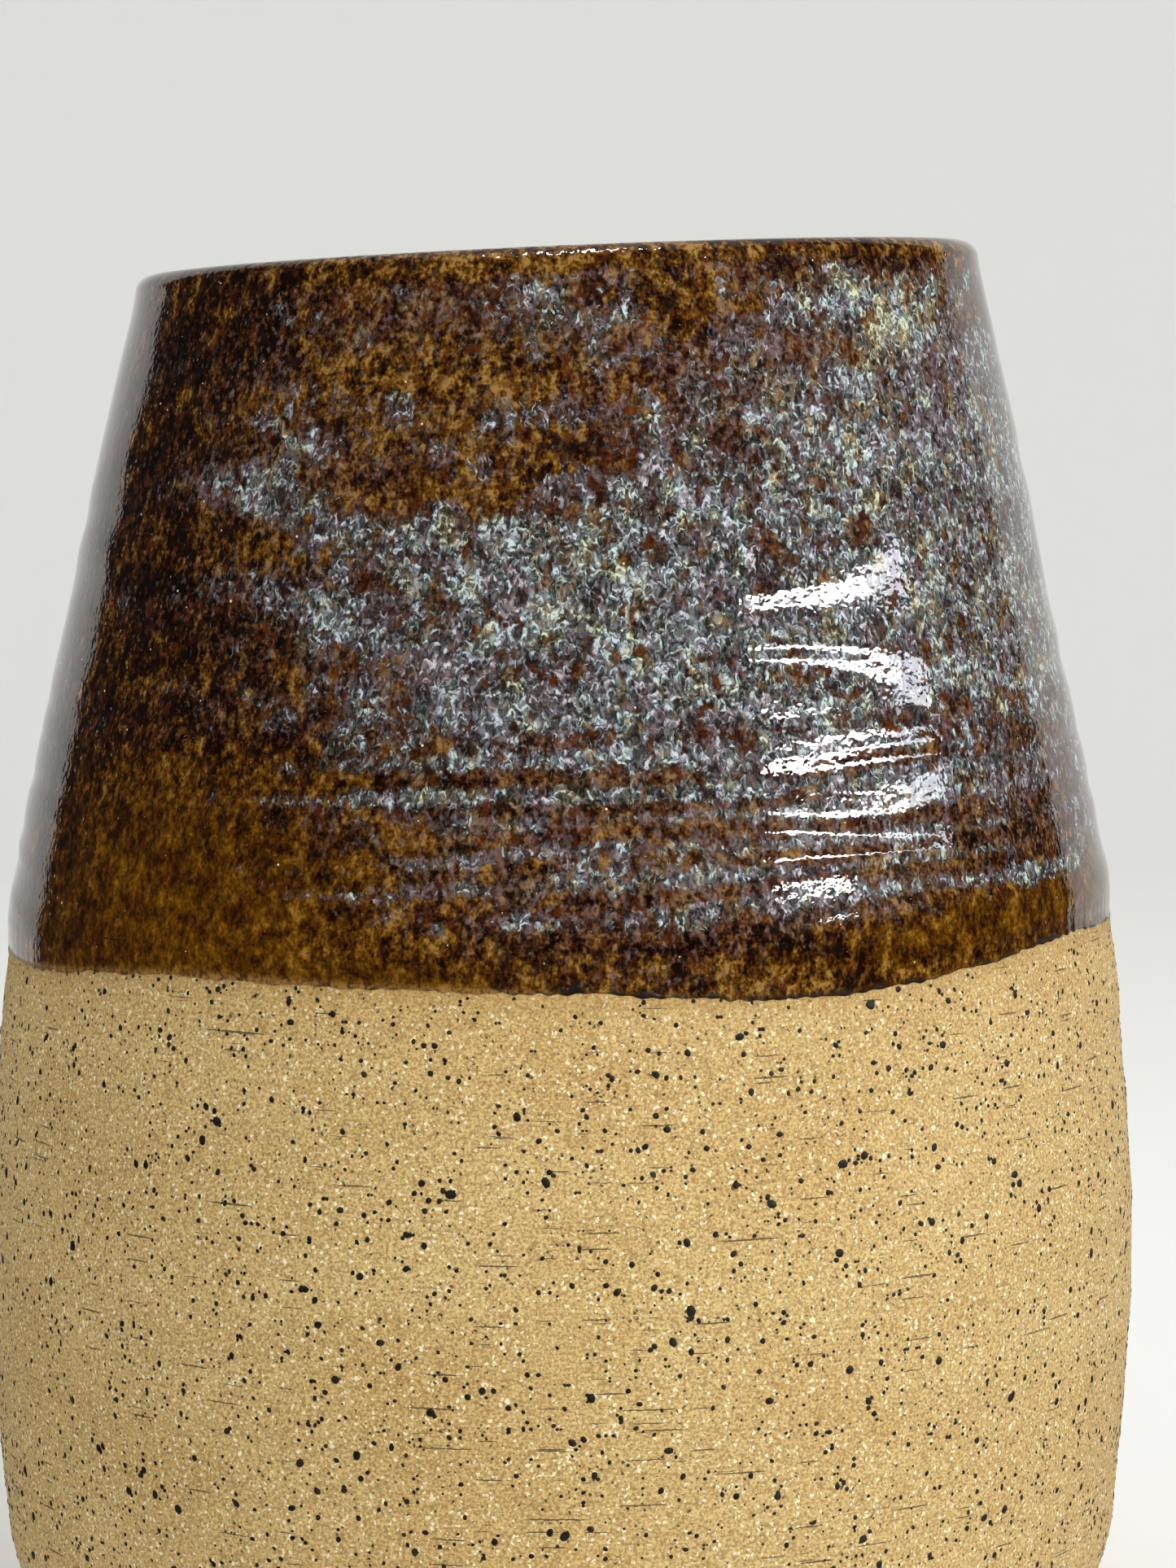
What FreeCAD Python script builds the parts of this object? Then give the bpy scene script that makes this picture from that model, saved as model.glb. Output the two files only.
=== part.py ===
"""Wheel-thrown stoneware vase: one fired clay body and the two glaze coats fused on it.

The body is a tapered flower vase with a rounded belly, a rounded turn into a trimmed foot, and a
rim that was never levelled, so it stands higher on its +X side. A liner coat covers the inside.
The outer coat was dipped: it runs from a slightly wavy line above the belly, up the wall, over
the lip and a few millimetres down the inside. Below that line the clay is bare.

Frame: millimetres, +Z up, origin at the centre of the foot's flat underside.
"""

import FreeCAD
import Part

import math
import os

Vector = FreeCAD.Vector

# Driving dimensions
RIM_HEIGHT = 157.6  # bare clay lip, on the axis, above the table
RIM_TILT = 2.4  # degrees that the rim plane rises towards +X
BELLY_RADIUS = 63.7
BELLY_HEIGHT = 53.0
GLAZE = 0.5  # thickness of both glaze coats
LIP_WALL = 5.2  # clay thickness at the lip
BELLY_WALL = 6.0
FLOOR_TOP = 9.0  # inside floor above the table
INSIDE_CORNER = 22.0  # radius between the inside wall and floor
INSIDE_STEP = 0.6  # how far the top of that corner stands in from the wall above it
LIP_ROUND = 1.4  # radius of both edges of the bare lip
LIP_ZONE = 5.0  # depth below the lip plane that holds the lip's edges and no others

# Foot
FOOT_RADIUS = 46.5  # edge of the flat underside
FOOT_BEVEL = 1.6
TURN_TOP = (62.0, 19.5)  # radius and height where the wall starts to turn under
TURN_MIDDLE = (58.6, 9.6)
RECESS_RADIUS = 38.0
RECESS_DEPTH = 2.5

# Outer wall above the turn, as (radius, height)
WALL = (
    TURN_TOP,
    (63.4, 37.5),
    (BELLY_RADIUS, BELLY_HEIGHT),
    (62.6, 69.5),
    (59.5, 94.0),
    (54.7, 116.0),
    (50.2, 137.5),
    (45.1, 160.0),
    (43.0, 169.0),  # past the rim, which a tilted plane trims
)

# Glaze edge on the outside: a level line with a low tilt and a little waver, as (turns, size, phase)
GLAZE_LINE = 84.5
GLAZE_WAVER = ((1, 0.7, 20.0), (2, 0.75, -38.0), (3, 0.64, 39.0), (4, 0.76, -106.0), (7, 0.3, 133.0))
GLAZE_LAP = 7.0  # how far the outer coat runs down inside the lip
EDGE_REACH = 10.0  # how far the surface that trims the coat reaches to both sides of the belly radius

FAR = 200.0  # beyond everything
CRUMB = 1.0  # cubic millimetres; anything smaller is a leftover of a cut


def spline(points):
    """A smooth edge through (radius, height) points in the XZ plane."""
    curve = Part.BSplineCurve()
    curve.interpolate([Vector(r, 0, z) for r, z in points])
    return curve.toShape()


def line(start, end):
    return Part.makeLine(Vector(start[0], 0, start[1]), Vector(end[0], 0, end[1]))


def revolved(edges):
    """The solid that a closed outline in the XZ plane sweeps around Z."""
    face = Part.Face(Part.Wire(edges))
    return face.revolve(Vector(0, 0, 0), Vector(0, 0, 1), 360)


def above_rim(height):
    """Everything above the tilted rim plane, which crosses the axis at the given height."""
    block = Part.makeBox(2 * FAR, 2 * FAR, FAR, Vector(-FAR, -FAR, 0))
    block.rotate(Vector(0, 0, 0), Vector(0, 1, 0), -RIM_TILT)
    block.translate(Vector(0, 0, height))
    return block


def outside(grow):
    """The vase as a solid lump with its wall moved out by grow. The foot and its turn stay."""
    wall = [TURN_TOP] + [(r + grow, z) for r, z in WALL[1:]]
    foot_top = (FOOT_RADIUS + FOOT_BEVEL, FOOT_BEVEL)
    turn = Part.Arc(*(Vector(r, 0, z) for r, z in (foot_top, TURN_MIDDLE, TURN_TOP))).toShape()
    top = wall[-1]
    return revolved([
        line((0, 0), (FOOT_RADIUS, 0)),
        line((FOOT_RADIUS, 0), foot_top),
        turn,
        spline(wall),
        line(top, (0, top[1])),
        line((0, top[1]), (0, 0)),
    ])


def wall_thickness(height):
    """Clay thickness, which eases from the belly to the lip."""
    share = min(max((height - BELLY_HEIGHT) / (RIM_HEIGHT - BELLY_HEIGHT), 0), 1)
    return BELLY_WALL + (LIP_WALL - BELLY_WALL) * share


def inside(shrink):
    """The hollow of the vase, with its wall moved in and its floor up by shrink."""
    floor = FLOOR_TOP + shrink
    wall = [(r - wall_thickness(z) - shrink, z) for r, z in WALL[1:]]
    corner_top = (wall[0][0] - INSIDE_STEP, floor + INSIDE_CORNER)
    corner_end = (corner_top[0] - INSIDE_CORNER, floor)
    lean = INSIDE_CORNER * (1 - math.sqrt(0.5))
    corner_middle = (corner_top[0] - lean, floor + lean)
    corner = Part.Arc(*(Vector(r, 0, z) for r, z in (corner_end, corner_middle, corner_top))).toShape()
    top = wall[-1]
    return revolved([
        line((0, floor), corner_end),
        corner,
        spline([corner_top] + wall),
        line(top, (0, top[1])),
        line((0, top[1]), (0, floor)),
    ])


def foot_recess():
    """The shallow hollow that trimming leaves under the floor, inside the foot ring."""
    return Part.makeCylinder(RECESS_RADIUS, RECESS_DEPTH)


def thrown_wall(coat):
    """The vase with a coat of that thickness on its wall, its lip and its inside, and no coat at 0."""
    rim = RIM_HEIGHT + coat
    vase = outside(coat).cut(inside(coat)).cut(above_rim(rim)).cut(foot_recess())
    lip_edges = [e for e in vase.Edges if e.BoundBox.ZMin > rim - LIP_ZONE]
    return vase.makeFillet(LIP_ROUND + coat, lip_edges)


def liner_zone():
    """The middle of the wall and all within it, up to where the outer coat laps over the liner."""
    core = outside(-BELLY_WALL / 2)
    return core.cut(above_rim(RIM_HEIGHT - GLAZE_LAP))


def glaze_edge_height(turn):
    """Height of the outer coat's lower edge at an angle in degrees."""
    waver = sum(size * math.cos(math.radians(n * turn - phase)) for n, size, phase in GLAZE_WAVER)
    return GLAZE_LINE + waver


def edge_loop(radius, points=60):
    """A closed smooth loop at one radius that follows the glaze edge."""
    loop = Part.BSplineCurve()
    turns = [360 * i / points for i in range(points)]
    loop.interpolate(
        [
            Vector(
                radius * math.cos(math.radians(t)),
                radius * math.sin(math.radians(t)),
                glaze_edge_height(t),
            )
            for t in turns
        ],
        PeriodicFlag=True,
    )
    return loop.toShape()


def below_glaze_edge():
    """The space outside the wall's middle and below the outer coat's lower edge."""
    skirt = Part.makeRuledSurface(edge_loop(BELLY_RADIUS - EDGE_REACH), edge_loop(BELLY_RADIUS + EDGE_REACH))
    return skirt.extrude(Vector(0, 0, -FAR))


def solids_of(shape):
    """The shape as clean solids."""
    found = [s for s in shape.removeSplitter().Solids if s.Volume > CRUMB]
    return found[0] if len(found) == 1 else Part.makeCompound(found)


def main():
    clay = thrown_wall(0)
    skin = thrown_wall(GLAZE).cut(clay)
    core = liner_zone()
    parts = {
        "clay_body": clay,
        "liner_glaze": skin.common(core),
        "outer_glaze": skin.cut(core).cut(below_glaze_edge()),
    }
    os.makedirs("parts", exist_ok=True)
    for name, shape in parts.items():
        shape = solids_of(shape)
        shape.exportStep(f"parts/{name}.step")
        box = shape.BoundBox
        print(
            f"{name}: {len(shape.Solids)} solid, valid {shape.isValid()}, {shape.Volume / 1000:.2f} cm3,"
            f" z {box.ZMin:.2f} to {box.ZMax:.2f}, x {box.XMin:.2f} to {box.XMax:.2f}"
        )


main()
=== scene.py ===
"""Looks of a wheel-thrown stoneware vase: bare speckled clay below, a glossy mottled glaze above.

Lengths are in millimetres until a mesh is written, which is in metres. Lamps, cards and the camera
are placed in metres. Angles run anticlockwise from +X, seen from above, and the vase's front is at
-90 degrees. The wall's outline repeats the CAD model's, because the frame gives only boxes.
"""

import math

import bpy
import numpy as np
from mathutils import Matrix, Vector


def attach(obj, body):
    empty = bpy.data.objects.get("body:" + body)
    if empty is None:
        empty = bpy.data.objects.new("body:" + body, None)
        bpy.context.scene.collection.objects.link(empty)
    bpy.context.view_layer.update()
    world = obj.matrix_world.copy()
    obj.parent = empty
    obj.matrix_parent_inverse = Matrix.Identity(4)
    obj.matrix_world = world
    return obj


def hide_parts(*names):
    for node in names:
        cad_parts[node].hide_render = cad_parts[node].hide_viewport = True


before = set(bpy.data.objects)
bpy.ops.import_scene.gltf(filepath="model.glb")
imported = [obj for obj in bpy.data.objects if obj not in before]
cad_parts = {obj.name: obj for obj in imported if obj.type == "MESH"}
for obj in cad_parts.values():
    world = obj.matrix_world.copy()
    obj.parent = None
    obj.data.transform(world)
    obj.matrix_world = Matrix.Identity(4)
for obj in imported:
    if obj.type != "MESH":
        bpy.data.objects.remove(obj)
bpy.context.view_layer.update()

MM = 0.001

# The vase, as the CAD model has it
GLAZE = 0.5
RIM_TILT = math.radians(2.4)
RIM_HEIGHT = 157.6
LIP_WALL = 5.2
BELLY_WALL = 6.0
BELLY_HEIGHT = 53.0
LIP_ROUND = 1.4
GLAZE_LAP = 7.0
FLOOR_TOP = 9.0
INSIDE_CORNER = 22.0
INSIDE_STEP = 0.6
FOOT_RADIUS = 46.5
FOOT_BEVEL = 1.6
RECESS_RADIUS = 38.0
RECESS_DEPTH = 2.5
TURN_TOP = (62.0, 19.5)
TURN_MIDDLE = (58.6, 9.6)
WALL = (
    TURN_TOP,
    (63.4, 37.5),
    (63.7, 53.0),
    (62.6, 69.5),
    (59.5, 94.0),
    (54.7, 116.0),
    (50.2, 137.5),
    (45.1, 160.0),
    (43.0, 169.0),
)

# The outer coat's lower edge, as (turns, size, phase) of its waver
GLAZE_LINE = 84.5
GLAZE_WAVER = ((1, 0.7, 20.0), (2, 0.75, -38.0), (3, 0.64, 39.0), (4, 0.76, -106.0), (7, 0.3, 133.0))

# Details that only the visible surfaces have
LIP_OUTSIDE = 46.0  # radius at which the lip's outer corner takes its height
LIP_INSIDE = 41.0
EDGE_FADE = 3.2  # height over which the outer coat thins to its edge
LINER_COAT = 0.42
LINER_OVERLAP = 1.0  # how far the liner runs up under the outer coat
CLAY_OVERLAP = 5.0  # how far the bare clay runs up under it
FOOT_ROUND = 1.0  # radii of the foot ring's outer and inner edge
RING_ROUND = 0.8
RECESS_CORNER = 1.2
MIDDLE = 1.2  # radius inside which a fan closes a surface
SPECKS_PER_CM2 = 29
SPECK_SIDES = 8

TURNS = 1080  # mesh columns round the vase
ROW = 0.34  # mesh row height on the walls
ANGLES = np.linspace(0, 2 * math.pi, TURNS, endpoint=False)
FRONT = np.degrees((ANGLES + math.pi / 2 + math.pi) % (2 * math.pi) - math.pi)  # degrees right of the front
ENDLESS = 1e6  # length up the wall of waves that only change round it


# ---------------------------------------------------------------- shape

def smooth_curve(knots):
    """A function that runs smoothly through (x, y) knots: a natural cubic spline."""
    x, y = np.array(knots, float).T
    gap = np.diff(x)
    rise = np.diff(y) / gap
    size = len(x)
    system = np.eye(size)
    right = np.zeros(size)
    for i in range(1, size - 1):
        system[i, i - 1:i + 2] = gap[i - 1], 2 * (gap[i - 1] + gap[i]), gap[i]
        right[i] = 6 * (rise[i] - rise[i - 1])
    bend = np.linalg.solve(system, right)

    def value(at):
        i = np.clip(np.searchsorted(x, at) - 1, 0, size - 2)
        step = at - x[i]
        slope = rise[i] - gap[i] * (2 * bend[i] + bend[i + 1]) / 6
        return y[i] + step * (slope + step * (bend[i] / 2 + step * (bend[i + 1] - bend[i]) / (6 * gap[i])))

    return value


wall_radius = smooth_curve([(z, r) for r, z in WALL])


def wall_thickness(height):
    """Clay thickness, which eases from the belly to the lip."""
    share = np.clip((height - BELLY_HEIGHT) / (RIM_HEIGHT - BELLY_HEIGHT), 0, 1)
    return BELLY_WALL + (LIP_WALL - BELLY_WALL) * share


def inner_radius(height):
    """The bare clay inside."""
    return wall_radius(height) - wall_thickness(height)


def rim_height(angle, radius):
    """Height of the bare lip's tilted plane."""
    return RIM_HEIGHT + radius * np.cos(angle) * math.tan(RIM_TILT)


def glaze_edge(angle):
    """Height of the outer coat's lower edge."""
    level = sum(size * np.cos(n * angle - math.radians(phase)) for n, size, phase in GLAZE_WAVER)
    return GLAZE_LINE + level


def ease(low, high, value):
    """0 below low, 1 above high, and smooth between."""
    t = np.clip((value - low) / (high - low), 0, 1)
    return t * t * (3 - 2 * t)


def waves(angle, height, size, lobes, length, count, seed):
    """Soft uneven relief that closes round the vase, with up to that many lobes round it."""
    rng = np.random.default_rng(seed)
    total = np.zeros(np.broadcast(angle, height).shape)
    for _ in range(count):
        n = rng.integers(-lobes, lobes + 1)
        q = 2 * math.pi / (length * rng.uniform(0.7, 1.6))
        total += np.cos(n * angle + q * height + rng.uniform(0, 2 * math.pi))
    return size * total / math.sqrt(count / 2)


def ring_level(angle, height):
    """Height along the throwing rings, which lie tilted like the rim and wander a little."""
    tilted = height - wall_radius(np.clip(height, 20, 165)) * np.cos(angle) * math.tan(RIM_TILT)
    return tilted + waves(angle, height, 0.45, 4, 60, 7, 11)


def rings(level, sizes, seed):
    """Uneven ridges across a level: a sum of waves, as (length, size)."""
    rng = np.random.default_rng(seed)
    total = 0
    for length, size in sizes:
        phase = rng.uniform(0, 2 * math.pi)
        sway = 0.7 * np.sin(level * 2 * math.pi / (length * 5.3) + phase * 3)
        total = total + size * np.cos(level * 2 * math.pi / length + phase + sway)
    return total


def relief(angle, height):
    """How far the thrown wall stands out from its plain outline.

    The upper wall has broad slanting rings and the wall above the glaze edge tight wandering ones.
    The trimmed lower wall has fine level rings, and a shoulder at the glaze edge parts the two.
    """
    level = ring_level(angle, height)
    slanting = level + waves(angle, height, 2.55, 7, 30, 12, 359)
    broad = rings(slanting, ((13.5, 0.078), (8.7, 0.02)), 189)
    wandering = level + waves(angle, height, 0.8, 11, 16, 14, 380)
    tight = rings(wandering, ((6.7, 0.07), (3.4, 0.027)), 302)
    tight = tight * (1 + waves(angle, height, 0.35, 9, 12, 12, 61))
    trimmed = rings(level, ((11.0, 0.05), (5.2, 0.02), (0.9, 0.004)), 8)
    low = ease(114, 106, height)
    thrown = broad * (1 - 0.8 * low) + tight * (0.1 + 0.9 * low)
    share = ease(58, 88, height)
    hand = waves(angle, height, 0.10, 3, 120, 5, 31)
    shoulder = 0.28 * np.exp(-((level - 79.5) / 5.5) ** 2) - 0.16 * np.exp(-((level - 82) / 1.6) ** 2)
    shoulder = shoulder + 0.22 * np.exp(-((level - 88) / 4.2) ** 2)
    return hand + shoulder + thrown * share + trimmed * (1 - share)


def along(*points):
    """A polyline through (radius, height) points as an array."""
    return np.array(points, float)


def arc(centre, radius, start, end, count):
    """Points on a round stretch between two angles in degrees."""
    turn = np.radians(np.linspace(start, end, count))
    return np.c_[centre[0] + radius * np.cos(turn), centre[1] + radius * np.sin(turn)]


def arc_through(a, b, c, count):
    """Points on the arc from a through b to c."""
    (ax, ay), (bx, by), (cx, cy) = a, b, c
    d = 2 * (ax * (by - cy) + bx * (cy - ay) + cx * (ay - by))
    ux = ((ax**2 + ay**2) * (by - cy) + (bx**2 + by**2) * (cy - ay) + (cx**2 + cy**2) * (ay - by)) / d
    uy = ((ax**2 + ay**2) * (cx - bx) + (bx**2 + by**2) * (ax - cx) + (cx**2 + cy**2) * (bx - ax)) / d
    start = math.degrees(math.atan2(ay - uy, ax - ux))
    end = math.degrees(math.atan2(cy - uy, cx - ux))
    return arc((ux, uy), math.hypot(ax - ux, ay - uy), start, end, count)


def evenly(path, step):
    """The path's points again, about step apart along it."""
    lengths = np.r_[0, np.cumsum(np.hypot(*np.diff(path, axis=0).T))]
    at = np.linspace(0, lengths[-1], max(2, round(lengths[-1] / step) + 1))
    return np.c_[np.interp(at, lengths, path[:, 0]), np.interp(at, lengths, path[:, 1])]


def swept(radius, height):
    """Points (rows, columns, xyz) of a surface round Z; radius and height may vary with the angle."""
    radius, height = np.broadcast_arrays(radius, height)
    radius = np.broadcast_to(radius, (radius.shape[0], TURNS))
    height = np.broadcast_to(height, (height.shape[0], TURNS))
    return np.stack([radius * np.cos(ANGLES), radius * np.sin(ANGLES), height], axis=2)


def normals(points):
    """Outward unit normals of a grid whose rows run up the outside."""
    across = np.roll(points, -1, axis=1) - np.roll(points, 1, axis=1)
    up = np.gradient(points, axis=0)
    normal = np.cross(across, up)
    return normal / np.maximum(np.linalg.norm(normal, axis=2, keepdims=True), 1e-9)


def grid_object(name, points, middle=None):
    """A mesh of quads over a grid that closes round Z. middle closes the last row with a fan."""
    rows, columns = points.shape[:2]
    index = np.arange(rows * columns).reshape(rows, columns)
    right = np.roll(index, -1, axis=1)
    faces = np.stack([index[:-1], right[:-1], right[1:], index[1:]], axis=2).reshape(-1, 4).tolist()
    places = points.reshape(-1, 3)
    if middle is not None:
        places = np.vstack([places, middle])
        last = len(places) - 1
        faces += [(a, b, last) for a, b in zip(index[-1].tolist(), right[-1].tolist())]
    return mesh_object(name, places, faces)


def row_of_points(turn, radius, height):
    """Points at those angles round Z, in one row."""
    return np.c_[radius * np.cos(turn), radius * np.sin(turn), np.broadcast_to(height, turn.shape)]


def strip_faces(count, first=0):
    """Quads between a row of count points, which starts at first, and the row after it."""
    faces = []
    for i in range(first, first + count - 1):
        faces.append((i, i + 1, i + count + 1, i + count))
    return faces


def mesh_object(name, places, faces):
    """A smooth-shaded mesh from points in millimetres."""
    mesh = bpy.data.meshes.new(name)
    mesh.from_pydata((np.asarray(places) * MM).tolist(), [], faces)
    mesh.shade_smooth()
    piece = bpy.data.objects.new(name, mesh)
    bpy.context.scene.collection.objects.link(piece)
    return piece


def paint(piece, name, values):
    """A number per vertex for the material. A closing middle point takes the last value."""
    values = np.asarray(values, np.float32).ravel()
    missing = len(piece.data.vertices) - len(values)
    values = np.r_[values, np.repeat(values[-1:], missing)]
    piece.data.attributes.new(name, "FLOAT", "POINT").data.foreach_set("value", values)


# ---------------------------------------------------------------- pieces

def clay_grid():
    """The bare clay from a little way up under the outer coat, down the wall and under the foot."""
    wall = np.array([(wall_radius(z), z) for z in np.arange(GLAZE_LINE + CLAY_OVERLAP, TURN_TOP[1], -ROW)])
    foot_top = (FOOT_RADIUS + FOOT_BEVEL, FOOT_BEVEL)
    turn = arc_through(TURN_TOP, TURN_MIDDLE, foot_top, 60)
    foot_round = arc((FOOT_RADIUS - 0.4, FOOT_ROUND), FOOT_ROUND, -35, -90, 6)
    inner_round = arc((RECESS_RADIUS + RING_ROUND, RING_ROUND), RING_ROUND, -90, -180, 8)
    corner_centre = (RECESS_RADIUS - RECESS_CORNER, RECESS_DEPTH - RECESS_CORNER)
    recess_corner = arc(corner_centre, RECESS_CORNER, 0, 90, 8)
    path = np.vstack([
        evenly(np.vstack([wall, turn]), ROW),
        evenly(along(foot_top, foot_round[0]), 0.5)[1:],
        foot_round[1:],
        evenly(along(foot_round[-1], inner_round[0]), 0.8)[1:-1],
        inner_round,
        recess_corner,
        evenly(along((RECESS_RADIUS - 1.6, RECESS_DEPTH), (MIDDLE, RECESS_DEPTH)), 1.0),
    ])
    points = swept(path[:, :1], path[:, 1:])
    outward = -normals(points)
    height = points[:, :, 2]
    radius = np.hypot(points[:, :, 0], points[:, :, 1])
    depth = relief(ANGLES, height) * ease(2.0, 10.0, height)
    under = ease(42, 34, radius) * (height < 4)
    turning = 0.05 * np.cos(radius * 2 * math.pi / 3.1 + 0.6 * np.sin(ANGLES)) * under
    points = points + outward * (depth + turning)[:, :, None]
    return points, outward


def clay_body():
    """The body, whose columns run backwards so that its faces look outward."""
    points, outward = clay_grid()
    piece = grid_object("thrown_clay_body", points[:, ::-1], middle=[(0, 0, RECESS_DEPTH)])
    return piece, points, outward


def outer_glaze():
    """The dipped coat: a rounded lower edge, the wall, the lip and a lap down inside."""
    edge = glaze_edge(ANGLES)
    edge = edge + waves(ANGLES, 0, 0.10, 40, ENDLESS, 24, 41) + waves(ANGLES, 0, 0.07, 230, ENDLESS, 60, 43)
    lip = LIP_ROUND + GLAZE
    top_outer = rim_height(ANGLES, LIP_OUTSIDE) + GLAZE - lip
    top_inner = rim_height(ANGLES, LIP_INSIDE) + GLAZE - lip

    # from just inside the clay it turns out in a small bead, and thickens upward to the full coat
    thinning = np.linspace(0, 1, 14)[:, None] ** 1.7
    thin_coat = -0.12 + 0.20 * ease(0, 0.035, thinning) + (GLAZE - 0.08) * thinning**0.8
    up = np.linspace(0, 1, 232)[1:, None]
    full = edge + EDGE_FADE
    heights = np.vstack([edge + EDGE_FADE * thinning, full + (top_outer - full) * up])
    coat = np.vstack([np.broadcast_to(thin_coat, (len(thinning), TURNS)), np.full((len(up), TURNS), GLAZE)])
    radii = wall_radius(heights) + coat + relief(ANGLES, heights) * np.ones_like(coat)

    quarter = np.radians(np.linspace(0, 90, 13))[1:, None]
    corner_out_r = radii[-1] - lip + lip * np.cos(quarter)
    corner_out_z = top_outer + lip * np.sin(quarter)
    inner_top_radius = inner_radius(top_inner) - GLAZE
    corner_in_r = inner_top_radius + lip - lip * np.sin(quarter)
    corner_in_z = top_inner + lip * np.cos(quarter)
    down = np.linspace(0, 1, 16)[1:, None]
    lap_heights = top_inner - (GLAZE_LAP - lip) * down
    lap_coat = GLAZE - 0.4 * ease(0.75, 1, down)
    lap_radii = inner_radius(lap_heights) - lap_coat
    all_radii = np.vstack([radii, corner_out_r, corner_in_r, lap_radii])
    all_heights = np.vstack([heights, corner_out_z, corner_in_z, lap_heights])
    points = swept(all_radii, all_heights)
    return grid_object("outer_glaze_coat", points), points


def liner_glaze():
    """The coat inside: from under the lap down the wall, round the corner and over the floor."""
    floor = FLOOR_TOP + LINER_COAT
    corner_top = (WALL[1][0] - BELLY_WALL - LINER_COAT - INSIDE_STEP, floor + INSIDE_CORNER)
    corner = arc((corner_top[0] - INSIDE_CORNER, corner_top[1]), INSIDE_CORNER, 0, -90, 40)
    inside = smooth_curve([(corner_top[1], corner_top[0])]
                          + [(z, r - wall_thickness(z) - LINER_COAT) for r, z in WALL[1:]])
    top = rim_height(ANGLES, LIP_INSIDE) - GLAZE_LAP + LINER_OVERLAP
    down = np.linspace(0, 1, 250)[:, None]
    heights = top + (corner_top[1] - top) * down
    level = ring_level(ANGLES, heights)
    ridges = rings(level, ((9.0, 0.16), (5.1, 0.09), (3.1, 0.03)), 17)
    radii = inside(heights) + ridges * ease(0, 0.04, down)
    low = evenly(np.vstack([corner, [(1.5, floor)]]), 0.8)[1:]
    swirl = 0.12 * np.cos(low[:, :1] * 2 * math.pi / 6.5 - ANGLES) * ease(2, 14, low[:, :1])
    low_radii = np.broadcast_to(low[:, :1], (len(low), TURNS))
    low_heights = low[:, 1:] + swirl * ease(46, 36, low[:, :1])
    points = swept(np.vstack([radii, low_radii]), np.vstack([heights, low_heights]))
    return grid_object("liner_glaze_coat", points, middle=[(0, 0, floor + 0.1)])


def speck_rows(points):
    """Each mesh row's share of the bare clay that can hold specks, and that clay in square centimetres."""
    height = points[:, 0, 2]
    radius = np.hypot(points[:, 0, 0], points[:, 0, 1])
    band = np.r_[np.hypot(np.diff(radius), np.diff(height)), 0] * radius
    band[(height > GLAZE_LINE + 0.6) | (height < 0.3)] = 0
    return band / band.sum(), 2 * math.pi * band.sum() / 100


def bead(centre, normal, size, rng):
    """The points of one low uneven bead: its top, an inner ring and an outer ring."""
    side = np.cross(normal, (0, 0, 1.0))
    length = np.linalg.norm(side)
    side = side / length if length > 1e-3 else np.array([1.0, 0, 0])
    other = np.cross(normal, side)
    stretch = rng.uniform(1.0, 1.35)
    lean = rng.uniform(0, math.pi)
    places = [centre + normal * size * 0.24]
    for share, lift in ((0.62, 0.17), (1.0, -0.06)):
        for k in range(SPECK_SIDES):
            turn = 2 * math.pi * k / SPECK_SIDES
            long_way = math.cos(turn) * stretch
            short_way = math.sin(turn)
            reach = size * share * rng.uniform(0.86, 1.12)
            along_side = reach * (long_way * math.cos(lean) - short_way * math.sin(lean))
            along_other = reach * (long_way * math.sin(lean) + short_way * math.cos(lean))
            places.append(centre + side * along_side + other * along_other + normal * size * lift)
    return places


def bead_faces(first):
    """The faces of a bead whose points start at first."""
    inner = first + 1
    outer = inner + SPECK_SIDES
    faces = []
    for k in range(SPECK_SIDES):
        n = (k + 1) % SPECK_SIDES
        faces.append((first, inner + k, inner + n))
        faces.append((inner + k, outer + k, outer + n, inner + n))
    return faces


def iron_specks(points, outward):
    """Melted iron grains in the clay: low uneven beads, few large and many small."""
    rng = np.random.default_rng(77)
    share, area = speck_rows(points)
    places, faces = [], []
    for _ in range(int(area * SPECKS_PER_CM2)):
        row = rng.choice(len(share), p=share)
        column = rng.integers(TURNS)
        size = 0.5 * min(0.23 + rng.gamma(2.0, 0.10), 1.15)
        if rng.random() < 0.02:
            size = 0.5 * rng.uniform(0.65, 1.1)
        if rng.random() < 0.10 and places:
            # this one sits close beside the last
            row = min(len(share) - 1, last_row + rng.integers(-4, 5))
            column = (last_column + rng.integers(-5, 6)) % TURNS
        last_row, last_column = row, column
        faces += bead_faces(len(places))
        places += bead(points[row, column], outward[row, column], size, rng)
    return mesh_object("iron_specks", places, faces)


# ---------------------------------------------------------------- materials

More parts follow.
